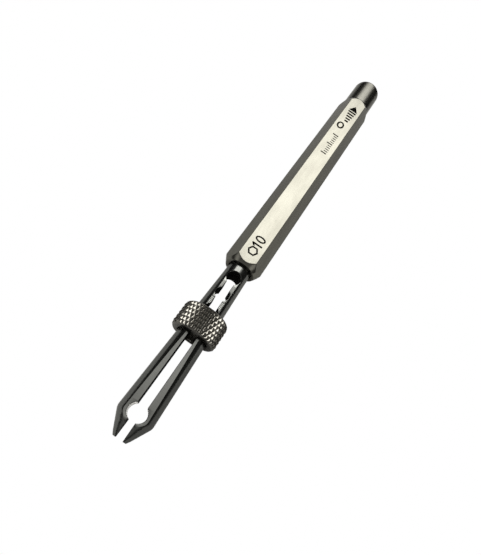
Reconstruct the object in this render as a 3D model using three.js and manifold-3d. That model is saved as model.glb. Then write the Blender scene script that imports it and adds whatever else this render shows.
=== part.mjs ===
// Sliding-collar case back opener: a hexagonal bar handle, a spring fork pressed into its front
// end, and a knurled ring that slides along the fork's tapered tines and closes its two jaws.
//
// Frame, in millimetres: +X runs along the tool from the handle's rear end face to the jaw tips,
// +Z is up, and +Y is to the left when looking along +X. The origin is the centre of the rear face.

import * as THREE from 'three';
import { mergeVertices } from 'three/addons/utils/BufferGeometryUtils.js';
import Module from 'manifold-3d';

const wasm = await Module();
wasm.setup();

const degrees = THREE.MathUtils.degToRad;

// ---- Driving dimensions: handle ------------------------------------------------------------------
const acrossFlats = 9.8;
const handleLength = 95.3;
const rearTurnedLength = 12.2;            // round end, turned on the bar
const rearTurnDepth = 0.1;                // round end's surface, below the flats
const rearEdgeRound = 0.6;
const rearConeAngle = degrees(20);        // shoulder between the round end and the hexagon
const frontFaceInset = 0.45;              // front face's rim, in from the flats
const frontChamferAngle = degrees(30);
const shankDepth = 22;                    // how far the fork's shank goes into the handle

// ---- Driving dimensions: fork --------------------------------------------------------------------
const neckRadius = 3.35;
const neckLength = 2.5;                   // handle's face to the start of the taper
const rootSetback = 1.7;                  // start of the taper to the slot's root
const tineLength = 45.5;                  // slot's root to the jaw tips
const shoulderRadius = 4.74;              // widest place of the taper
const shoulderSetback = 5.2;              // widest place, behind the tips
const tipRadius = 1.87;                   // the pointed end's flat nose
const rootSlotWidth = 2.04;
const frontSlotWidth = 2.56;              // just behind the jaw hole
const jawGap = 1.88;                      // between the gripping faces, in front of the jaw hole
const jawHoleRadius = 2.375;
const jawHoleFrontReach = 1.9;            // its front half is flattened towards the gripping lips
const jawHoleSetback = 6.0;               // jaw hole's axis, behind the tips
const reliefHoleRadius = 1.9;
const reliefHoleCount = 3;
const reliefHolePitch = 5.45;
const reliefGrooveDepth = 0.9;            // shallow groove along the first stretch of the slot
const forkHalfHeight = 3.6;               // middle plane to the flats ground along the tines

// ---- Driving dimensions: collar ------------------------------------------------------------------
const collarRadius = 6.35;
const collarLength = 7.1;
const collarSetback = 26.9;               // collar's front face, behind the tips
const collarEdgeChamfer = 0.6;
const collarBoreChamfer = 0.25;

// ---- Clearances ----------------------------------------------------------------------------------
const shankClearance = 0.1;               // shank in the handle's bore, on the radius
const shankEndGap = 0.3;                  // shank's end to the bottom of the bore
const tineRootGap = 0.3;                  // each tine to the root that it bends from
const collarClearance = 0.2;              // collar's bore round the taper, on the radius

// ---- Fineness ------------------------------------------------------------------------------------
const turnedSides = 60;
const drilledSides = 36;
const arcSteps = 4;
const cutMargin = 5;                      // how far a cutting tool runs past the metal

// ---- Places worked out from the sizes ------------------------------------------------------------
const flatRadius = acrossFlats / 2;
const cornerRadius = flatRadius / Math.cos(Math.PI / 6);
const rearTurnedRadius = flatRadius - rearTurnDepth;
const frontFaceRadius = flatRadius - frontFaceInset;
const taperStart = handleLength + neckLength;
const slotRoot = taperStart + rootSetback;
const tips = slotRoot + tineLength;
const shoulder = tips - shoulderSetback;
const jawHole = tips - jawHoleSetback;
const collarFront = tips - collarSetback;
const collarBack = collarFront - collarLength;
const reach = collarRadius + cornerRadius + shoulderRadius;   // more than any radius here

function taperRadius(x) {
  const share = (x - taperStart) / (shoulder - taperStart);
  return neckRadius + (shoulderRadius - neckRadius) * share;
}

// ---- Solids --------------------------------------------------------------------------------------

// A closed geometry becomes a solid for joining and cutting.
function toSolid(geometry) {
  const bare = geometry.clone();
  bare.deleteAttribute('normal');
  bare.deleteAttribute('uv');
  const merged = mergeVertices(bare);
  const corners = merged.getIndex().array;
  const triangles = [];
  for (let i = 0; i < corners.length; i += 3) {
    const [a, b, c] = corners.slice(i, i + 3);
    if (a !== b && b !== c && c !== a) {
      triangles.push(a, b, c);
    }
  }
  return new wasm.Manifold(new wasm.Mesh({
    numProp: 3,
    vertProperties: Float32Array.from(merged.getAttribute('position').array),
    triVerts: Uint32Array.from(triangles),
  }));
}

function toGeometry(solid) {
  const mesh = solid.getMesh();
  const geometry = new THREE.BufferGeometry();
  geometry.setAttribute('position', new THREE.BufferAttribute(mesh.vertProperties, 3));
  geometry.setIndex(new THREE.BufferAttribute(mesh.triVerts, 1));
  geometry.computeVertexNormals();
  return geometry;
}

// A path of (x, radius) points turned round the X axis. The path runs anticlockwise round the metal,
// and a lathe geometry wants it clockwise.
function turned(path) {
  const profile = path.getPoints(arcSteps).map((point) => new THREE.Vector2(point.y, point.x));
  const lathe = new THREE.LatheGeometry(profile.reverse(), turnedSides);
  return toSolid(lathe.rotateZ(-Math.PI / 2));
}

function block(low, high) {
  const size = high.map((value, i) => value - low[i]);
  const middle = high.map((value, i) => (value + low[i]) / 2);
  return toSolid(new THREE.BoxGeometry(...size).translate(...middle));
}

// A round bar along Z, as a drill leaves it.
function drill(x, radius) {
  const bar = new THREE.CylinderGeometry(radius, radius, 2 * reach, drilledSides);
  return toSolid(bar.rotateX(Math.PI / 2).translate(x, 0, 0));
}

// ---- Handle --------------------------------------------------------------------------------------

function hexagonBar(length) {
  const outline = new THREE.Shape();
  for (let corner = 0; corner < 6; corner += 1) {
    const angle = corner * Math.PI / 3 + Math.PI / 6;
    const point = [cornerRadius * Math.cos(angle), cornerRadius * Math.sin(angle)];
    if (corner === 0) {
      outline.moveTo(...point);
    } else {
      outline.lineTo(...point);
    }
  }
  const bar = new THREE.ExtrudeGeometry(outline, { depth: length, bevelEnabled: false });
  return toSolid(bar.rotateY(Math.PI / 2));
}

// The envelope that the bar is turned to: round rear end, rear shoulder cone and front chamfer.
function handleEnvelope() {
  const wide = cornerRadius + cutMargin;
  const rearConeLength = (wide - rearTurnedRadius) / Math.tan(rearConeAngle);
  const chamferLength = (wide - frontFaceRadius) / Math.tan(frontChamferAngle);
  const path = new THREE.Path();
  path.moveTo(handleLength, 0);
  path.lineTo(handleLength, frontFaceRadius);
  path.lineTo(handleLength - chamferLength, wide);
  path.lineTo(rearTurnedLength + rearConeLength, wide);
  path.lineTo(rearTurnedLength, rearTurnedRadius);
  path.absarc(rearEdgeRound, rearTurnedRadius - rearEdgeRound, rearEdgeRound, Math.PI / 2, Math.PI, false);
  path.lineTo(0, 0);
  return turned(path);
}

function shankBore() {
  const bottom = handleLength - shankDepth - shankEndGap;
  const radius = neckRadius + shankClearance;
  const path = new THREE.Path();
  path.moveTo(handleLength + cutMargin, 0);
  path.lineTo(handleLength + cutMargin, radius);
  path.lineTo(bottom, radius);
  path.lineTo(bottom, 0);
  return turned(path);
}

function handle() {
  return hexagonBar(handleLength).intersect(handleEnvelope()).subtract(shankBore());
}

// ---- Fork ----------------------------------------------------------------------------------------

// Shank, neck, long taper and pointed jaw end, before the slot is cut.
function forkBlank() {
  const path = new THREE.Path();
  path.moveTo(tips, 0);
  path.lineTo(tips, tipRadius);
  path.lineTo(shoulder, shoulderRadius);
  path.lineTo(taperStart, neckRadius);
  path.lineTo(handleLength - shankDepth, neckRadius);
  path.lineTo(handleLength - shankDepth, 0);
  return turned(path);
}

// The slot widens from its root to the jaw hole, and is narrower between the gripping faces.
function slot() {
  const outline = new THREE.Shape();
  outline.moveTo(slotRoot, -rootSlotWidth / 2);
  outline.lineTo(jawHole, -frontSlotWidth / 2);
  outline.lineTo(jawHole, -jawGap / 2);
  outline.lineTo(tips + cutMargin, -jawGap / 2);
  outline.lineTo(tips + cutMargin, jawGap / 2);
  outline.lineTo(jawHole, jawGap / 2);
  outline.lineTo(jawHole, frontSlotWidth / 2);
  outline.lineTo(slotRoot, rootSlotWidth / 2);
  const cutter = new THREE.ExtrudeGeometry(outline, { depth: 2 * reach, bevelEnabled: false });
  return toSolid(cutter.translate(0, 0, -reach));
}

// The jaw hole is round behind its axis and half an ellipse in front, where the gripping lips begin.
function jawOpening() {
  const outline = new THREE.Shape();
  outline.absarc(jawHole, 0, jawHoleRadius, Math.PI / 2, 1.5 * Math.PI, false);
  outline.absellipse(jawHole, 0, jawHoleFrontReach, jawHoleRadius, -Math.PI / 2, Math.PI / 2, false);
  const cutter = new THREE.ExtrudeGeometry(outline, {
    depth: 2 * reach,
    bevelEnabled: false,
    curveSegments: drilledSides / 2,
  });
  return toSolid(cutter.translate(0, 0, -reach));
}

// Holes along the slot's first stretch, and the shallow groove of the same width between them.
function relief() {
  const lastHole = slotRoot + (reliefHoleCount - 1) * reliefHolePitch;
  const floor = forkHalfHeight - reliefGrooveDepth;
  let cut = block([slotRoot, -reliefHoleRadius, floor], [lastHole, reliefHoleRadius, reach]);
  cut = cut.add(block([slotRoot, -reliefHoleRadius, -reach], [lastHole, reliefHoleRadius, -floor]));
  for (let hole = 0; hole < reliefHoleCount; hole += 1) {
    cut = cut.add(drill(slotRoot + hole * reliefHolePitch, reliefHoleRadius));
  }
  return cut;
}

function fork() {
  const rear = handleLength - shankDepth - cutMargin;
  const flats = block([rear, -reach, -forkHalfHeight], [tips + cutMargin, reach, forkHalfHeight]);
  return forkBlank()
    .intersect(flats)
    .subtract(slot())
    .subtract(relief())
    .subtract(jawOpening());
}

// The fork bends at the slot's root, so it is held as a shank and two tines.
function shank(wholeFork) {
  const rear = handleLength - shankDepth - cutMargin;
  return wholeFork.intersect(block([rear, -reach, -reach], [slotRoot, reach, reach]));
}

function tine(wholeFork, side) {
  const y = [0, side * reach].sort((a, b) => a - b);
  const zone = block([slotRoot + tineRootGap, y[0], -reach], [tips + cutMargin, y[1], reach]);
  return wholeFork.intersect(zone);
}

// ---- Collar --------------------------------------------------------------------------------------

function collar() {
  const bore = taperRadius(collarFront) + collarClearance;
  const path = new THREE.Path();
  path.moveTo(collarFront - collarBoreChamfer, bore);
  path.lineTo(collarFront, bore + collarBoreChamfer);
  path.lineTo(collarFront, collarRadius - collarEdgeChamfer);
  path.lineTo(collarFront - collarEdgeChamfer, collarRadius);
  path.lineTo(collarBack + collarEdgeChamfer, collarRadius);
  path.lineTo(collarBack, collarRadius - collarEdgeChamfer);
  path.lineTo(collarBack, bore + collarBoreChamfer);
  path.lineTo(collarBack + collarBoreChamfer, bore);
  path.closePath();
  return turned(path);
}

// ---- Assembly ------------------------------------------------------------------------------------

const finish = {
  handle: new THREE.MeshStandardMaterial({ color: 0x5a5955, roughness: 0.25, metalness: 1 }),
  fork: new THREE.MeshStandardMaterial({ color: 0x6c6e6a, roughness: 0.35, metalness: 1 }),
  collar: new THREE.MeshStandardMaterial({ color: 0x4c4a44, roughness: 0.3, metalness: 1 }),
};

const tool = new THREE.Group();

function addPart(name, solid, material) {
  const mesh = new THREE.Mesh(toGeometry(solid), material);
  mesh.name = name;
  tool.add(mesh);
}

const wholeFork = fork();
addPart('hex_handle', handle(), finish.handle);
addPart('fork_shank', shank(wholeFork), finish.fork);
addPart('left_tine', tine(wholeFork, 1), finish.fork);
addPart('right_tine', tine(wholeFork, -1), finish.fork);
addPart('slide_collar', collar(), finish.collar);

export default tool;
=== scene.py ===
"""Looks for a sliding-collar case back opener: a hexagonal handle, a spring fork and a knurled ring.

Each piece is a mesh built from its own sizes in millimetres, in the CAD model's frame: +X runs from
the handle's rear end face to the jaw tips, +Z is up, and +Y is to the left when looking along +X.
"""

import math

import bmesh
import bpy
from mathutils import Euler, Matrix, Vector


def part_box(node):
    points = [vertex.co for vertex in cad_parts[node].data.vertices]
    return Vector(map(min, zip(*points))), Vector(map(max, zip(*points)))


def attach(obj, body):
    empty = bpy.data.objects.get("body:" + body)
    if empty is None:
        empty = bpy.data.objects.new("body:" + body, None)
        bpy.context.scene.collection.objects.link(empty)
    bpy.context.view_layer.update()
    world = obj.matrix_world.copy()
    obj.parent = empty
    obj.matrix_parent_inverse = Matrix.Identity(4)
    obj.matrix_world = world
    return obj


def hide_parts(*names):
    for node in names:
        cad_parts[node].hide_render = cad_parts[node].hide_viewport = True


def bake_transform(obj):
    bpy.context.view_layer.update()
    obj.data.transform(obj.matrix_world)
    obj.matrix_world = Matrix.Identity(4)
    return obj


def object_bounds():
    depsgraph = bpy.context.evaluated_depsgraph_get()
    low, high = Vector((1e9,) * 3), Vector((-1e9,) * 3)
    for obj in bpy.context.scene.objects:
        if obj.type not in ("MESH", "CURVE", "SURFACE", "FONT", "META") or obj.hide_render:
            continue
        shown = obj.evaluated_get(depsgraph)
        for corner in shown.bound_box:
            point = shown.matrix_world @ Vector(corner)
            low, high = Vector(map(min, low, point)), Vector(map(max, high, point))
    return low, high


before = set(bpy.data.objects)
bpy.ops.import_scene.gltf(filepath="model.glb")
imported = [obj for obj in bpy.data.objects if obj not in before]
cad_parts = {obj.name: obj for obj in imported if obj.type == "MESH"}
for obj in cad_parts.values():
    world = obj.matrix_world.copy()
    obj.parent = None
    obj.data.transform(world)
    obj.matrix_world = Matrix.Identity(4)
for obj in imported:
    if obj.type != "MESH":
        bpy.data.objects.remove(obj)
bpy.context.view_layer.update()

MM = 0.001

# ---- Sizes read from the frame, in millimetres ---------------------------------------------------


def box_mm(node):
    low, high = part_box(node)
    return low / MM, high / MM


_, handle_high = box_mm("hex_handle")
shank_low, shank_high = box_mm("fork_shank")
_, tine_high = box_mm("left_tine")
collar_low, collar_high = box_mm("slide_collar")

FLAT_RADIUS = handle_high.z               # half the width across flats
HANDLE_FRONT = handle_high.x
NECK_RADIUS = shank_high.z
SLOT_ROOT = shank_high.x
SHOULDER_RADIUS = tine_high.y
FLAT_HEIGHT = tine_high.z                 # middle plane to the flats ground along the tines
TIPS = tine_high.x
COLLAR_RADIUS = collar_high.z
COLLAR_BACK = collar_low.x
COLLAR_FRONT = collar_high.x

# ---- Handle sizes --------------------------------------------------------------------------------

REAR_TURNED_LENGTH = 12.2
REAR_TURN_DEPTH = 0.1
REAR_EDGE_ROUND = 0.6
REAR_CONE_SLOPE = math.tan(math.radians(20))
FRONT_CHAMFER_SLOPE = math.tan(math.radians(30))
FRONT_FACE_INSET = 0.45
HEX_EDGE_ROUND = 0.16                     # radius of the broken long edges
HANDLE_EDGE_BREAK = 0.05                  # on every other sharp edge of the handle
BORE_RADIUS = NECK_RADIUS + 0.06
BORE_DEPTH = 22.3
BORE_CHAMFER = 0.12

# ---- Fork sizes ----------------------------------------------------------------------------------

NECK_LENGTH = 2.5
SHOULDER_SETBACK = 5.2
SHOULDER_ROUND = 0.6                      # half the length over which the shoulder is eased
TIP_RADIUS = 1.87
ROOT_SLOT_HALF = 1.02
FRONT_SLOT_HALF = 1.28
JAW_GAP_HALF = 0.94
JAW_HOLE_RADIUS = 2.375
JAW_HOLE_FRONT_REACH = 1.9                # the jaw hole is flattened in front of its axis
JAW_HOLE_SETBACK = 6.0
RELIEF_HOLE_RADIUS = 1.9
RELIEF_HOLE_PITCH = 5.45
RELIEF_HOLES = 3
GROOVE_DEPTH = 0.9
RIDGE_PITCH = 0.42                        # cross ridges on the groove's floor
RIDGE_HEIGHT = 0.03
EDGE_BREAK = 0.12                         # small round along the slot, the groove and the holes
SHANK_CHAMFER = 0.4
SPLIT_SETBACK = 2.0                       # where the tines' meshes start, behind the slot's root

# ---- Collar sizes --------------------------------------------------------------------------------

COLLAR_CLEARANCE = 0.2                    # bore round the taper, on the radius
COLLAR_EDGE_CHAMFER = 0.6
COLLAR_BORE_CHAMFER = 0.25
COLLAR_FACE_MARGIN = 0.25                 # the end faces' first ring lies this far inside the chamfer
KNURL_COUNT = 33                          # diamonds round the collar
KNURL_PITCH = 2.3                         # length of one diamond along the tool
KNURL_DEPTH = 0.42
KNURL_STEPS = 16                          # mesh steps across one diamond
KNURL_WEAR = 0.1                          # share of the depth over which the crests are rounded
THREAD_PITCH = 0.36
THREAD_DEPTH = 0.035

# ---- Mesh helpers --------------------------------------------------------------------------------

MERGE_DISTANCE = 1e-7


def finish_mesh(name, vertices, faces, sharp_angle, edge_break=0.0, slots=None, weighted=False):
    """Makes an object from points in millimetres, closes its seams and sets which edges are sharp.

    slots gives each face's material number, where a piece has more than one material. weighted keeps
    the shading of large flat faces flat where they run into narrow rounded edges.
    """
    mesh = bpy.data.meshes.new(name)
    mesh.from_pydata([Vector(v) * MM for v in vertices], [], faces)
    if slots:
        mesh.polygons.foreach_set("material_index", slots)
    work = bmesh.new()
    work.from_mesh(mesh)
    bmesh.ops.remove_doubles(work, verts=work.verts, dist=MERGE_DISTANCE)
    bmesh.ops.dissolve_degenerate(work, edges=work.edges, dist=MERGE_DISTANCE)
    bmesh.ops.recalc_face_normals(work, faces=work.faces)
    work.to_mesh(mesh)
    work.free()
    piece = bpy.data.objects.new(name, mesh)
    bpy.context.scene.collection.objects.link(piece)
    if edge_break:
        bevel = piece.modifiers.new("edge_break", "BEVEL")
        bevel.width = edge_break * MM
        bevel.segments = 2
        bevel.limit_method = "ANGLE"
        bevel.angle_limit = sharp_angle
        bevel.use_clamp_overlap = True
        apply_modifiers(piece)
    piece.data.shade_smooth()
    piece.data.set_sharp_from_angle(angle=sharp_angle)
    if weighted:
        piece.modifiers.new("flat_faces_stay_flat", "WEIGHTED_NORMAL").keep_sharp = True
        apply_modifiers(piece)
    return piece


def apply_modifiers(piece):
    bpy.context.view_layer.update()
    evaluated = piece.evaluated_get(bpy.context.evaluated_depsgraph_get())
    result = bpy.data.meshes.new_from_object(evaluated)
    piece.modifiers.clear()
    old = piece.data
    piece.data = result
    bpy.data.meshes.remove(old)
    result.name = piece.name


def skin(rows, closed=True, caps=True, loop=False):
    """Faces over rows of points: each row is a ring, or an open strip where closed is False."""
    vertices = [point for row in rows for point in row]
    width = len(rows[0])
    faces = []
    spans = len(rows) if loop else len(rows) - 1
    for i in range(spans):
        a, b = i * width, (i + 1) % len(rows) * width
        for j in range(width if closed else width - 1):
            k = (j + 1) % width
            faces.append((a + j, a + k, b + k, b + j))
    if caps and not loop:
        faces.append(tuple(range(width)))
        faces.append(tuple(range((len(rows) - 1) * width, len(rows) * width)))
    return vertices, faces


def ring(x, radius, angles):
    return [(x, radius * math.cos(a), radius * math.sin(a)) for a in angles]


def spread(start, end, count):
    """count values from start to end, both included."""
    return [start + (end - start) * i / (count - 1) for i in range(count)]


def even_angles(count):
    return [2 * math.pi * i / count for i in range(count)]


# ---- Handle --------------------------------------------------------------------------------------


def hexagon_outline(flat_steps=18, edge_steps=5):
    """(angle, radius) round the bar's section, whose corners are broken by a small arc."""
    outline = []
    inner_corner = (FLAT_RADIUS - HEX_EDGE_ROUND) / math.cos(math.pi / 6)
    for side in range(6):
        corner = side * math.pi / 3
        cy, cz = inner_corner * math.cos(corner), inner_corner * math.sin(corner)
        for turn in spread(-math.pi / 6, math.pi / 6, edge_steps):
            y = cy + HEX_EDGE_ROUND * math.cos(corner + turn)
            z = cz + HEX_EDGE_ROUND * math.sin(corner + turn)
            outline.append((y, z))
        last, middle = outline[-1], corner + math.pi / 6
        half = last[1] * math.cos(middle) - last[0] * math.sin(middle)
        for share in spread(half, -half, flat_steps)[1:-1]:
            y = FLAT_RADIUS * math.cos(middle) - share * math.sin(middle)
            z = FLAT_RADIUS * math.sin(middle) + share * math.cos(middle)
            outline.append((y, z))
    return [(math.atan2(z, y), math.hypot(y, z)) for y, z in outline]


BAR, TURNED = 0, 1                        # the handle's material slots


def make_handle():
    """The bar from its blind bore, over the front chamfer and the flats, to the turned rear end."""
    outline = hexagon_outline()
    angles = [angle for angle, _ in outline]
    face_radius = FLAT_RADIUS - FRONT_FACE_INSET
    turned_radius = FLAT_RADIUS - REAR_TURN_DEPTH

    def column(x_of, r_of):
        """A ring whose place and radius may differ at each angle."""
        return [(x_of(r), r_of(r) * math.cos(a), r_of(r) * math.sin(a)) for a, r in outline]

    def front_x(r):
        return HANDLE_FRONT - (r - face_radius) / FRONT_CHAMFER_SLOPE

    def rear_x(r):
        return REAR_TURNED_LENGTH + (r - turned_radius) / REAR_CONE_SLOPE

    bore_bottom = HANDLE_FRONT - BORE_DEPTH
    rows = [ring(bore_bottom, 0, angles), ring(bore_bottom, BORE_RADIUS, angles)]
    rows.append(ring(HANDLE_FRONT - BORE_CHAMFER, BORE_RADIUS, angles))
    rows.append(ring(HANDLE_FRONT, BORE_RADIUS + BORE_CHAMFER, angles))
    for share in spread(0, 1, 4):
        rows.append(column(lambda r: HANDLE_FRONT - share * (HANDLE_FRONT - front_x(r)),
                           lambda r: face_radius + share * (r - face_radius)))
    for share in spread(0, 1, 17)[1:]:
        rows.append(column(lambda r: front_x(r) + share * (rear_x(r) - front_x(r)), lambda r: r))
    for share in spread(1, 0, 4)[1:]:
        rows.append(column(lambda r: REAR_TURNED_LENGTH + share * (rear_x(r) - REAR_TURNED_LENGTH),
                           lambda r: turned_radius + share * (r - turned_radius)))
    for turn in spread(0, math.pi / 2, 7):
        x = REAR_EDGE_ROUND * (1 - math.sin(turn))
        radius = turned_radius - REAR_EDGE_ROUND * (1 - math.cos(turn))
        rows.append(ring(x, radius, angles))
    rows.append(ring(0, 0, angles))
    slots = [TURNED if row[0][0] <= REAR_TURNED_LENGTH else BAR for row in rows[1:] for _ in angles]
    return finish_mesh("handle_body", *skin(rows, caps=False), math.radians(17),
                       edge_break=HANDLE_EDGE_BREAK, slots=slots, weighted=True)


# ---- Fork ----------------------------------------------------------------------------------------

TAPER_START = HANDLE_FRONT + NECK_LENGTH
SHOULDER = TIPS - SHOULDER_SETBACK
JAW_HOLE = TIPS - JAW_HOLE_SETBACK
SPLIT = SLOT_ROOT - SPLIT_SETBACK
LAST_RELIEF_HOLE = SLOT_ROOT + (RELIEF_HOLES - 1) * RELIEF_HOLE_PITCH
GROOVE_FLOOR = FLAT_HEIGHT - GROOVE_DEPTH


def outer_radius(x):
    """The turned outline: neck, long taper, eased shoulder and pointed end."""
    taper_slope = (SHOULDER_RADIUS - NECK_RADIUS) / (SHOULDER - TAPER_START)
    tip_slope = (TIP_RADIUS - SHOULDER_RADIUS) / (TIPS - SHOULDER)
    if x <= TAPER_START:
        return NECK_RADIUS
    if x <= SHOULDER - SHOULDER_ROUND:
        return NECK_RADIUS + taper_slope * (x - TAPER_START)
    if x >= SHOULDER + SHOULDER_ROUND:
        return TIP_RADIUS - tip_slope * (TIPS - x)
    past = x - (SHOULDER - SHOULDER_ROUND)
    start = NECK_RADIUS + taper_slope * (SHOULDER - SHOULDER_ROUND - TAPER_START)
    bend = (tip_slope - taper_slope) / (4 * SHOULDER_ROUND)
    return start + taper_slope * past + bend * past * past


def hole_half(x, centre, radius):
    """Half the width of a cross hole where it is cut at x, or 0 outside it."""
    return math.sqrt(max(0.0, radius ** 2 - (x - centre) ** 2))


def jaw_hole_half(x, grow=0.0):
    """Half the jaw hole's width at x: round behind its axis, half an ellipse in front of it."""
    reach = (JAW_HOLE_FRONT_REACH if x > JAW_HOLE else JAW_HOLE_RADIUS) + grow
    return (JAW_HOLE_RADIUS + grow) * math.sqrt(max(0.0, 1 - ((x - JAW_HOLE) / reach) ** 2))


def slot_half(x):
    if x < SLOT_ROOT:
        return 0.0
    if x > JAW_HOLE:
        return JAW_GAP_HALF
    share = (x - SLOT_ROOT) / (JAW_HOLE - SLOT_ROOT)
    return ROOT_SLOT_HALF + (FRONT_SLOT_HALF - ROOT_SLOT_HALF) * share


def relief_centres():
    return [SLOT_ROOT + i * RELIEF_HOLE_PITCH for i in range(RELIEF_HOLES)]


def inner_half(x, grow=0.0):
    """The tine's inner face at mid height. grow widens the slot and the holes, for their edge breaks."""
    holes = [hole_half(x, centre, RELIEF_HOLE_RADIUS + grow) for centre in relief_centres()]
    holes.append(jaw_hole_half(x, grow))
    slot = slot_half(x)
    return max(slot + grow if slot else 0.0, *holes)


def groove_half(x, grow=0.0):
    """The tine's inner face above the groove's floor."""
    in_groove = SLOT_ROOT <= x <= LAST_RELIEF_HOLE
    return max(inner_half(x, grow), RELIEF_HOLE_RADIUS + grow if in_groove else 0.0)


def groove_floor(x):
    """Height of the ledge beside the slot, with fine cross ridges past the second hole."""
    ridges_from = SLOT_ROOT + RELIEF_HOLE_PITCH + RELIEF_HOLE_RADIUS
    if not ridges_from < x < LAST_RELIEF_HOLE:
        return GROOVE_FLOOR
    phase = (x - ridges_from) / RIDGE_PITCH % 1
    return GROOVE_FLOOR - RIDGE_HEIGHT + RIDGE_HEIGHT * abs(2 * phase - 1)


LEAST_STEP = 0.004                        # sections closer than this are left out


def tine_stations():
    """Places along the tine where its section is taken: closer together round holes and bends."""
    stations = set(spread(SPLIT, TIPS, 60))
    ridge_steps = round(RELIEF_HOLES * RELIEF_HOLE_PITCH / RIDGE_PITCH) * 4
    stations.update(spread(SLOT_ROOT, LAST_RELIEF_HOLE, ridge_steps + 1))
    stations.update(spread(SHOULDER - SHOULDER_ROUND, SHOULDER + SHOULDER_ROUND, 9))
    ends = [(centre, RELIEF_HOLE_RADIUS, RELIEF_HOLE_RADIUS) for centre in relief_centres()]
    ends.append((JAW_HOLE, JAW_HOLE_RADIUS, JAW_HOLE_FRONT_REACH))
    for centre, behind, ahead in ends:
        for turn in spread(0, math.pi / 2, 17):
            stations.update((centre - behind * math.cos(turn), centre + ahead * math.cos(turn)))
    ordered = sorted(x for x in stations if SPLIT <= x <= TIPS)
    kept = [ordered[0]]
    for x in ordered[1:]:
        if x - kept[-1] > LEAST_STEP:
            kept.append(x)
    kept[-1] = TIPS
    return kept


ARC_STEPS = 24
BREAK_STEPS = 4                           # flats across each rounded edge of the section
SIDE_WALL = ARC_STEPS + BREAK_STEPS       # first of the section's upright sides: above the ledge
INNER_WALL = SIDE_WALL + BREAK_STEPS + 2  # between the two ledges
LOWER_SIDE_WALL = 2 * INNER_WALL - SIDE_WALL


def rounded(outside, inside, level, drop):
    """Points over an edge that turns from a level face at outside to a wall at inside."""
    turns = spread(0, math.pi / 2, BREAK_STEPS + 1)
    return [(inside + (outside - inside) * (1 - math.sin(turn)), level - drop * (1 - math.cos(turn)))
            for turn in turns]


def tine_section(x, side):
    """The tine's outline at x: round the outside, down its inner side and back along the bottom."""
    radius = outer_radius(x) - max(0.0, x - (TIPS - EDGE_BREAK))
    wall = groove_half(x)
    rim = groove_half(x, EDGE_BREAK)
    top_angle = min(math.asin(min(1.0, FLAT_HEIGHT / radius)), math.acos(min(1.0, rim / radius)))
    top = radius * math.sin(top_angle)
    inner = inner_half(x)
    lip = min(inner_half(x, EDGE_BREAK), wall)
    drop = min(EDGE_BREAK, top) * (rim > wall)
    floor = min(groove_floor(x), top - drop)
    arc = [(radius * math.cos(a), radius * math.sin(a)) for a in spread(-top_angle, top_angle, ARC_STEPS)]
    half = rounded(rim, wall, top, drop) + [(wall, floor)]
    half += rounded(lip, inner, floor, EDGE_BREAK * (lip > inner))
    points = arc + half + [(y, -z) for y, z in reversed(half)]
    return [(x, side * y, z) for y, z in points]


METAL, PAINTED_SHADE, POLISHED = 0, 1, 2           # a tine's material slots


def wall_finish(x, column):
    """The slot's and relief holes' walls get the near-black painted shade, the jaw hole's is polished, and
    the rest plain metal.
    """
    in_groove = SLOT_ROOT <= x <= LAST_RELIEF_HOLE
    if column != INNER_WALL and (in_groove or column not in (SIDE_WALL, LOWER_SIDE_WALL)):
        return METAL
    return POLISHED if jaw_hole_half(x) > slot_half(x) else PAINTED_SHADE


def make_tine(name, side):
    """A tine whose inner walls have their own materials."""
    stations = tine_stations()
    vertices, faces = skin([tine_section(x, side) for x in stations])
    width = len(vertices) // len(stations)
    slots = []
    for behind, ahead in zip(stations, stations[1:]):
        slots += [wall_finish((behind + ahead) / 2, column) for column in range(width)]
    slots += [METAL, METAL]
    return finish_mesh(name, vertices, faces, math.radians(26), slots=slots, weighted=True)


def make_neck():
    """The fork's shank and neck, up to where the tines' meshes take over."""
    angles = even_angles(96)
    rear = shank_low.x
    rows = [ring(rear, 0, angles)]
    rows.append(ring(rear, NECK_RADIUS - SHANK_CHAMFER, angles))
    rows.append(ring(rear + SHANK_CHAMFER, NECK_RADIUS, angles))
    rows += [ring(x, NECK_RADIUS, angles) for x in spread(rear + 2, SPLIT, 20)]
    rows.append(ring(SPLIT, 0, angles))
    return finish_mesh("fork_neck", *skin(rows, caps=False), math.radians(24))


# ---- Collar --------------------------------------------------------------------------------------


def knurl_height(i, j):
    """0 in the knurl's grooves and 1 on its worn points, at step i round the collar and j along it."""
    falling = (i + j) / KNURL_STEPS % 1
    rising = (i - j) / KNURL_STEPS % 1
    if falling == 0 or rising == 0:
        return 0.0
    sides = [2 * d for d in (falling, 1 - falling, rising, 1 - rising)]
    worn = -KNURL_WEAR * math.log(sum(math.exp(-d / KNURL_WEAR) for d in sides))
    return max(0.0, worn) / (1 - KNURL_WEAR * math.log(4))


def split_in_groove(number, face, columns, knurl_rows):
    """A quad that a knurl groove crosses becomes two triangles along the groove."""
    j, i = divmod(number, columns)
    a, b, c, d = face
    if j >= knurl_rows:
        return [face]
    if (i - j) % KNURL_STEPS == 0:
        return [(a, b, c), (a, c, d)]
    if (i + j + 1) % KNURL_STEPS == 0:
        return [(a, b, d), (b, c, d)]
    return [face]


KNURLED, PLAIN = 0, 1                     # the collar's material slots


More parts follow.
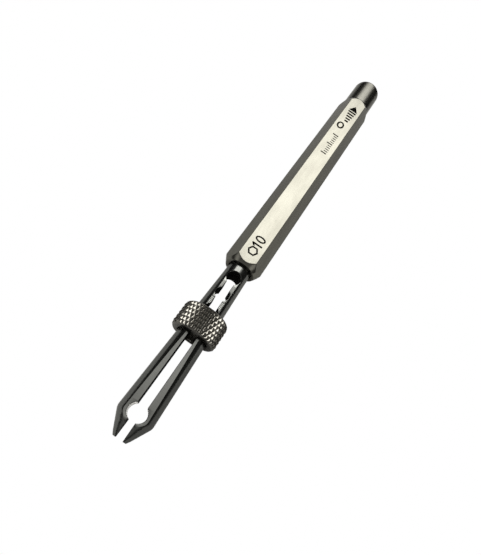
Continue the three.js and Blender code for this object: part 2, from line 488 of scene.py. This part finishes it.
def make_collar():
    """The ring: knurl and end chamfers outside, two flat end faces, and a bore with fine turning marks."""
    columns = KNURL_COUNT * KNURL_STEPS
    angles = even_angles(columns)
    step = KNURL_PITCH / KNURL_STEPS
    count = round((COLLAR_FRONT - COLLAR_BACK) / step)
    rows = []
    for j in range(count + 1):
        x = COLLAR_BACK + (COLLAR_FRONT - COLLAR_BACK) * j / count
        from_end = min(x - COLLAR_BACK, COLLAR_FRONT - x)
        limit = COLLAR_RADIUS - max(0.0, COLLAR_EDGE_CHAMFER - from_end)
        row = []
        for i, angle in enumerate(angles):
            radius = COLLAR_RADIUS - KNURL_DEPTH * (1 - knurl_height(i, j))
            radius = min(radius, limit)
            row.append((x, radius * math.cos(angle), radius * math.sin(angle)))
        rows.append(row)
    bore = outer_radius(COLLAR_FRONT) + COLLAR_CLEARANCE
    outermost = COLLAR_RADIUS - COLLAR_EDGE_CHAMFER - COLLAR_FACE_MARGIN
    face_radii = spread(outermost, bore + COLLAR_BORE_CHAMFER, 4)
    rows += [ring(COLLAR_FRONT, radius, angles) for radius in face_radii]
    half_threads = round((COLLAR_FRONT - COLLAR_BACK - 2 * COLLAR_BORE_CHAMFER) / THREAD_PITCH) * 2
    bore_from, bore_to = COLLAR_FRONT - COLLAR_BORE_CHAMFER, COLLAR_BACK + COLLAR_BORE_CHAMFER
    for number, x in enumerate(spread(bore_from, bore_to, half_threads + 1)):
        rows.append(ring(x, bore + THREAD_DEPTH * (number % 2), angles))
    rows += [ring(COLLAR_BACK, radius, angles) for radius in reversed(face_radii)]
    vertices, quads = skin(rows, loop=True)
    chamfer_rows = math.ceil(COLLAR_EDGE_CHAMFER / step) - 1
    faces, slots = [], []
    for number, quad in enumerate(quads):
        parts = split_in_groove(number, quad, columns, count)
        faces += parts
        on_knurl = chamfer_rows <= number // columns < count - chamfer_rows
        slots += [KNURLED if on_knurl else PLAIN] * len(parts)
    return finish_mesh("knurled_collar", vertices, faces, math.radians(28), slots=slots)


# ---- Marks on the top flat -----------------------------------------------------------------------

MARK_THICKNESS = 0.012
MARK_GAP = 0.002                          # between the flat and the marks' undersides
STROKE = 0.52


def make_marks():
    """A size mark, a short scale, a ring and an arrow: plain black signs along the top flat."""
    base = FLAT_RADIUS + MARK_GAP
    vertices, faces = [], []

    def flat_shape(points, holes_to=None):
        """A thin plate over an outline; with holes_to, a frame between two outlines."""
        start, count = len(vertices), len(points)
        rims = [points] if holes_to is None else [points, holes_to]
        for rim in rims:
            for level in (base, base + MARK_THICKNESS):
                vertices.extend((x, y, level) for x, y in rim)
        if holes_to is None:
            faces.append(tuple(range(start + count, start + 2 * count)))
            faces.append(tuple(reversed(range(start, start + count))))
            for i in range(count):
                k = (i + 1) % count
                faces.append((start + i, start + k, start + count + k, start + count + i))
            return
        for i in range(count):
            k = (i + 1) % count
            low, high, in_low, in_high = (start + n * count for n in range(4))
            faces.append((high + i, high + k, in_high + k, in_high + i))
            faces.append((low + k, low + i, in_low + i, in_low + k))
            faces.append((low + i, low + k, high + k, high + i))
            faces.append((in_low + k, in_low + i, in_high + i, in_high + k))

    def bar(x, width, low, high):
        behind, ahead = x - width / 2, x + width / 2
        flat_shape([(behind, low), (ahead, low), (ahead, high), (behind, high)])

    def oval(x, y, half_length, half_width, sides=32, turn=0.0):
        return [(x + half_length * math.cos(turn + a), y + half_width * math.sin(turn + a))
                for a in even_angles(sides)]

    # Size mark: a hexagon, then the figures of its nominal width.
    size_x, middle = 90.6, 0.02
    flat_shape(oval(size_x, middle, 1.6, 1.6, 6, math.pi / 6),
               oval(size_x, middle, 1.05, 1.05, 6, math.pi / 6))
    one_x = size_x - 2.35
    bar(one_x, STROKE, -1.55, 1.6)
    flat_shape([(one_x, -1.55), (one_x + 0.8, -0.95), (one_x + 0.8, -0.35), (one_x, -0.9)])
    nought_x = one_x - 1.95
    flat_shape(oval(nought_x, middle, 1.0, 1.58, 28), oval(nought_x, middle, 0.5, 1.08, 28))

    # Scale: eleven ticks, one millimetre apart, each fifth one long.
    scale_x, scale_edge = 45.2, 1.1
    for tick in range(11):
        length, width = (2.1, 0.45) if tick % 5 == 0 else (1.35, 0.32)
        bar(scale_x - tick, width, scale_edge - length, scale_edge)

    # A ring, and an arrow to the rear with bars that grow towards its head.
    ring_x, ring_y = 29.7, -0.65
    flat_shape(oval(ring_x, ring_y, 1.75, 1.3), oval(ring_x, ring_y, 1.1, 0.7))
    for number in range(5):
        half = 0.55 + 0.2 * number
        bar(26.4 - 1.35 * number, 0.75, -half, half + 0.3)
    flat_shape([(17.3, 0.15), (20.2, -1.5), (20.2, 1.8)])
    return finish_mesh("flat_marks", vertices, faces, math.radians(30))


# ---- Materials -----------------------------------------------------------------------------------


class Nodes:
    """Short calls for building a material's node tree."""

    def __init__(self, tree):
        self.tree = tree
        tree.nodes.clear()

    def add(self, kind, inputs=None, **settings):
        node = self.tree.nodes.new(kind)
        for key, value in settings.items():
            setattr(node, key, value)
        for key, value in (inputs or {}).items():
            if isinstance(value, bpy.types.NodeSocket):
                self.tree.links.new(value, node.inputs[key])
            else:
                node.inputs[key].default_value = value
        return node

    def place(self, scale):
        """Mesh coordinates in millimetres, times scale."""
        source = self.add("ShaderNodeTexCoord").outputs["Object"]
        mapping = self.add("ShaderNodeMapping", {"Vector": source, "Scale": [s / MM for s in scale]})
        return mapping.outputs["Vector"]

    def noise(self, scale, detail=3.0, roughness=0.55):
        texture = self.add("ShaderNodeTexNoise", {"Vector": self.place(scale), "Scale": 1.0,
                                                  "Detail": detail, "Roughness": roughness})
        return texture.outputs["Fac"]

    def remap(self, value, low, high, source=(0.3, 0.7)):
        return self.add("ShaderNodeMapRange",
                        {"Value": value, "From Min": source[0], "From Max": source[1],
                         "To Min": low, "To Max": high}).outputs["Result"]

    def mix(self, factor, a, b):
        node = self.add("ShaderNodeMix", data_type="RGBA")
        for key, value in (("Factor", factor), ("A", a), ("B", b)):
            sockets = [s for s in node.inputs if s.name == key and s.enabled]
            if isinstance(value, bpy.types.NodeSocket):
                self.tree.links.new(value, sockets[0])
            else:
                sockets[0].default_value = value
        return [s for s in node.outputs if s.enabled][0]

    def plus(self, a, b):
        return self.add("ShaderNodeMath", {0: a, 1: b}, operation="ADD").outputs[0]

    def times(self, a, b):
        return self.add("ShaderNodeMath", {0: a, 1: b}, operation="MULTIPLY").outputs[0]

    def finish(self, shader):
        self.add("ShaderNodeOutputMaterial", {"Surface": shader})


def new_nodes(name):
    material = bpy.data.materials.new(name)
    material.use_nodes = True
    return material, Nodes(material.node_tree)


EDGE_TINT = 0.58                          # how much the metal brightens towards grazing angles


def metal(name, dark, light, grain, roughness, bump, speck=0.0, tarnish=0.0):
    """Dark nickel finish: colour drifts between two tones, and grain is the direction of its fine lines.

    speck is how much the roughness varies in spots, and tarnish the largest share of dull film.
    """
    material, nodes = new_nodes(name)
    drift = nodes.noise((0.12, 0.35, 0.35), detail=4)
    colour = nodes.mix(nodes.remap(drift, 0, 1), (*dark, 1), (*light, 1))
    lines = nodes.noise(grain, detail=2)
    spots = nodes.noise((2.2, 2.2, 2.2), detail=4, roughness=0.7)
    rough = nodes.remap(lines, *roughness)
    if speck:
        rough = nodes.plus(rough, nodes.remap(spots, -speck, speck))
    height = nodes.plus(lines, nodes.times(spots, 0.25))
    normal = nodes.add("ShaderNodeBump", {"Height": height, "Strength": bump, "Distance": 0.01 * MM})
    shader = nodes.add("ShaderNodeBsdfPrincipled",
                       {"Base Color": colour,
                        "Metallic": nodes.remap(spots, 1.0, 1.0 - tarnish) if tarnish else 1.0,
                        "Roughness": rough, "Specular Tint": (EDGE_TINT, EDGE_TINT, EDGE_TINT, 1),
                        "Normal": normal.outputs["Normal"]})
    nodes.finish(shader.outputs["BSDF"])
    return material


def painted_shade_walls():
    """Walls of the slot and the relief holes: rough and held near black, a painted shade for the dark
    inside of these recesses.
    """
    material, nodes = new_nodes("painted_shade_walls")
    rings = nodes.noise((0.5, 0.5, 9), detail=2)
    # Painted shade: the walls' colour stays near black, as the inside of the slot and holes looks in
    # shade.
    colour = nodes.mix(nodes.remap(rings, 0, 1), (0.002, 0.002, 0.002, 1), (0.008, 0.008, 0.007, 1))
    normal = nodes.add("ShaderNodeBump", {"Height": rings, "Strength": 0.4, "Distance": 0.01 * MM})
    shader = nodes.add("ShaderNodeBsdfPrincipled",
                       {"Base Color": colour, "Metallic": 0.0, "Roughness": nodes.remap(rings, 0.7, 0.9),
                        "Specular IOR Level": 0.03, "Normal": normal.outputs["Normal"]})
    nodes.finish(shader.outputs["BSDF"])
    return material


def polished_bore():
    """The jaw hole's wall: bare bright steel, reamed round and polished by use."""
    material, nodes = new_nodes("polished_bore")
    rings = nodes.noise((0.4, 0.4, 7), detail=2)
    colour = nodes.mix(nodes.remap(rings, 0, 1), (0.86, 0.86, 0.85, 1), (0.95, 0.95, 0.94, 1))
    normal = nodes.add("ShaderNodeBump", {"Height": rings, "Strength": 0.1, "Distance": 0.005 * MM})
    shader = nodes.add("ShaderNodeBsdfPrincipled",
                       {"Base Color": colour, "Metallic": 1.0, "Roughness": nodes.remap(rings, 0.03, 0.07),
                        "Normal": normal.outputs["Normal"]})
    nodes.finish(shader.outputs["BSDF"])
    return material


def ink():
    """Matt black printing, slightly uneven."""
    material, nodes = new_nodes("black_marking")
    wear = nodes.noise((3, 3, 3), detail=3)
    colour = nodes.mix(nodes.remap(wear, 0, 1), (0.002, 0.002, 0.002, 1), (0.006, 0.006, 0.005, 1))
    shader = nodes.add("ShaderNodeBsdfPrincipled",
                       {"Base Color": colour, "Metallic": 0.0, "Roughness": nodes.remap(wear, 0.7, 0.9),
                        "Specular IOR Level": 0.0})
    nodes.finish(shader.outputs["BSDF"])
    return material


def floor_paper():
    """White paper, overexposed as the camera sees it; what the metal reflects of it keeps its shadows.

    Beside the left tine the paper's colour is darkened to a painted half shade.
    """
    material, nodes = new_nodes("floor_paper")
    tone = nodes.noise((0.01, 0.01, 0.01), detail=2)
    lit = nodes.mix(nodes.remap(tone, 0, 1), (0.78, 0.78, 0.78, 1), (0.82, 0.82, 0.82, 1))
    place = nodes.add("ShaderNodeSeparateXYZ", {0: nodes.place((1, 1, 1))})
    # Painted half shade: past the collar and on the left tine's side the paper's colour darkens to 0.48.
    ahead = nodes.remap(place.outputs["X"], 0, 1, source=(COLLAR_BACK - 6, COLLAR_FRONT + 4))
    beside = nodes.remap(place.outputs["Y"], 0, 1, source=(0, 8))
    colour = nodes.mix(nodes.times(ahead, beside), lit, (0.48, 0.48, 0.48, 1))
    paper = nodes.add("ShaderNodeBsdfDiffuse", {"Color": colour})
    seen = nodes.add("ShaderNodeEmission", {"Color": (1, 1, 1, 1), "Strength": 1.0})
    camera_ray = nodes.add("ShaderNodeLightPath").outputs["Is Camera Ray"]
    both = nodes.add("ShaderNodeMixShader", {0: camera_ray, 1: paper.outputs[0], 2: seen.outputs[0]})
    nodes.finish(both.outputs[0])
    return material


# ---- Studio --------------------------------------------------------------------------------------

FLOOR_GAP = 0.02                          # between the tool's lowest point and the paper
FLOOR_REAR, FLOOR_FRONT, FLOOR_HALF_WIDTH = -500, 180, 75


def make_floor():
    """A strip of paper under the tool. Past its edges the camera sees the same white, from the world."""
    low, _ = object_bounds()
    rear, front, half_width = (size * MM for size in (FLOOR_REAR, FLOOR_FRONT, FLOOR_HALF_WIDTH))
    level = low.z - FLOOR_GAP * MM
    mesh = bpy.data.meshes.new("floor")
    corners = [(rear, -half_width, level), (front, -half_width, level),
               (front, half_width, level), (rear, half_width, level)]
    mesh.from_pydata(corners, [], [(0, 1, 2, 3)])
    floor = bpy.data.objects.new("floor", mesh)
    bpy.context.scene.collection.objects.link(floor)
    floor.data.materials.append(floor_paper())


# Brightness of each light in the world, where the white that the camera sees is 1.
SOFTBOX = 7.4
HALO = 2.2
CEILING = (0.8, 3.2)                      # from its front to the soft box's side
FRONT_WALL = 0.45
SIDE_WINDOWS = 1.3
SURROUND = 0.07
LIGHT_COLOUR = (1.0, 0.985, 0.93, 1)

BOX_HEIGHT = math.radians(50)             # the soft box's middle above the horizon
BOX_LEAN = 0.45                           # how far its two sides lean
BOX_TURN = -0.1                           # how far its lower edge slopes


def make_world():
    """A soft box high behind the handle, a ceiling that it lights, and a paler front wall with a window
    on either side. All else is dark, and the camera sees plain white.
    """
    world = bpy.data.worlds.new("studio")
    world.use_nodes = True
    bpy.context.scene.world = world
    nodes = Nodes(world.node_tree)
    direction = nodes.add("ShaderNodeTexCoord").outputs["Generated"]

    def along(x, y, z):
        part = nodes.add("ShaderNodeVectorMath", {0: direction, 1: (x, y, z)}, operation="DOT_PRODUCT")
        return part.outputs["Value"]

    def ramp(value, start, end):
        soft_step = nodes.add("ShaderNodeMapRange", {"Value": value, "From Min": start, "From Max": end},
                              interpolation_type="SMOOTHSTEP")
        return soft_step.outputs["Result"]

    def band(value, low, high, soft):
        """1 between low and high and 0 outside them, with soft edges."""
        return nodes.times(ramp(value, low - soft, low + soft), ramp(value, high + soft, high - soft))

    def soft_box_and_halo():
        rise, reach = math.sin(BOX_HEIGHT), math.cos(BOX_HEIGHT)
        facing = along(-reach, 0, rise)
        across = nodes.add("ShaderNodeMath", {0: along(0, 1, 0), 1: facing}, operation="DIVIDE").outputs[0]
        upward = nodes.add("ShaderNodeMath", {0: along(rise, 0, reach), 1: facing},
                           operation="DIVIDE").outputs[0]
        leaning = nodes.plus(across, nodes.times(upward, BOX_LEAN))
        turned = nodes.plus(upward, nodes.times(across, BOX_TURN))
        box = nodes.times(band(leaning, -0.62, 0.2, 0.07), band(turned, -0.345, 0.26, 0.05))
        halo = nodes.times(band(leaning, -0.75, 0.38, 0.14), band(turned, -0.39, 0.32, 0.08))
        light = nodes.plus(nodes.times(box, SOFTBOX), nodes.times(halo, HALO))
        ahead = nodes.add("ShaderNodeMath", {0: facing, 1: 0.05}, operation="GREATER_THAN").outputs[0]
        return nodes.times(light, ahead)

    def ceiling():
        brightness = nodes.remap(along(-1, 0, 0), *CEILING, source=(-0.1, 0.3))
        return nodes.times(brightness, band(along(0, 0, 1), 0.955, 2.0, 0.02))

    def front_wall():
        wall = nodes.times(band(along(1, 0, 0), 0.35, 2.0, 0.3), band(along(0, 0, 1), 0.1, 0.95, 0.15))
        return nodes.times(wall, FRONT_WALL)

    def side_windows():
        to_side = nodes.add("ShaderNodeMath", {0: along(0, 1, 0)}, operation="ABSOLUTE").outputs[0]
        window = nodes.times(band(to_side, 0.64, 2.0, 0.06), band(along(0, 0, 1), 0.28, 0.9, 0.08))
        window = nodes.times(window, band(along(1, 0, 0), 0.28, 2.0, 0.15))
        return nodes.times(window, SIDE_WINDOWS)

    lights = nodes.plus(soft_box_and_halo(), ceiling())
    lights = nodes.plus(lights, nodes.plus(nodes.plus(front_wall(), side_windows()), SURROUND))
    studio = nodes.add("ShaderNodeBackground", {"Color": LIGHT_COLOUR, "Strength": lights})
    plain = nodes.add("ShaderNodeBackground", {"Color": (1, 1, 1, 1), "Strength": 1.0})
    camera_ray = nodes.add("ShaderNodeLightPath").outputs["Is Camera Ray"]
    seen = nodes.add("ShaderNodeMixShader", {0: camera_ray, 1: studio.outputs[0], 2: plain.outputs[0]})
    nodes.add("ShaderNodeOutputWorld", {"Surface": seen.outputs[0]})


CAMERA_BACK, CAMERA_SIDE, CAMERA_HEIGHT = 3.75, 2.974, 89.256   # from the jaw tips, on the centre line
CAMERA_TURN = (22.729, -13.957, 122.060)  # degrees about X, Y and Z
CAMERA_LENS, CAMERA_SENSOR = 23.786, 36


def make_camera():
    """A wide-angle close-up from almost straight above the jaws, looking back along the handle."""
    data = bpy.data.cameras.new("camera")
    data.sensor_width = CAMERA_SENSOR
    data.lens = CAMERA_LENS
    data.clip_start = 5 * MM
    camera = bpy.data.objects.new("camera", data)
    camera.location = Vector((TIPS - CAMERA_BACK, CAMERA_SIDE, CAMERA_HEIGHT)) * MM
    camera.rotation_euler = Euler([math.radians(angle) for angle in CAMERA_TURN])
    bpy.context.scene.collection.objects.link(camera)
    bpy.context.scene.camera = camera


# ---- Assembly ------------------------------------------------------------------------------------

make_camera()
make_world()
make_floor()
bpy.context.scene.view_settings.view_transform = "Standard"

handle_metal = metal("handle_nickel", dark=(0.088, 0.086, 0.076), light=(0.108, 0.106, 0.094),
                     grain=(0.15, 9, 9), roughness=(0.16, 0.24), bump=0.12, speck=0.04)
turned_metal = metal("turned_nickel", dark=(0.075, 0.074, 0.067), light=(0.095, 0.094, 0.086),
                     grain=(9, 0.3, 0.3), roughness=(0.18, 0.26), bump=0.15)
fork_metal = metal("fork_nickel", dark=(0.083, 0.085, 0.083), light=(0.101, 0.103, 0.1),
                   grain=(6, 0.4, 0.4), roughness=(0.14, 0.24), bump=0.25)
collar_metal = metal("collar_nickel", dark=(0.118, 0.113, 0.102), light=(0.155, 0.15, 0.138),
                     grain=(3, 3, 3), roughness=(0.1, 0.2), bump=0.12, tarnish=0.18)
collar_face_metal = metal("collar_face_nickel", dark=(0.1, 0.096, 0.088), light=(0.125, 0.121, 0.112),
                          grain=(3, 3, 3), roughness=(0.18, 0.26), bump=0.06)
# The slot's and relief holes' walls: near-black painted shade.
wall_painted_shade = painted_shade_walls()
bore_steel = polished_bore()

handle = make_handle()
for material in (handle_metal, turned_metal):                  # in the order BAR, TURNED
    handle.data.materials.append(material)
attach(handle, "handle")
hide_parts("hex_handle")

neck = make_neck()
neck.data.materials.append(fork_metal)
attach(neck, "handle")
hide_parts("fork_shank")

for tine_name, tine_side in (("left_tine", 1), ("right_tine", -1)):
    tine = make_tine(tine_name + "_body", tine_side)
    for material in (fork_metal, wall_painted_shade, bore_steel):      # in the order METAL, PAINTED_SHADE, POLISHED
        tine.data.materials.append(material)
    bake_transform(tine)
    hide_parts(tine_name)

collar = make_collar()
for material in (collar_metal, collar_face_metal):             # in the order KNURLED, PLAIN
    collar.data.materials.append(material)
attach(collar, "collar")
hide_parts("slide_collar")

marks = make_marks()
marks.data.materials.append(ink())
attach(marks, "handle")
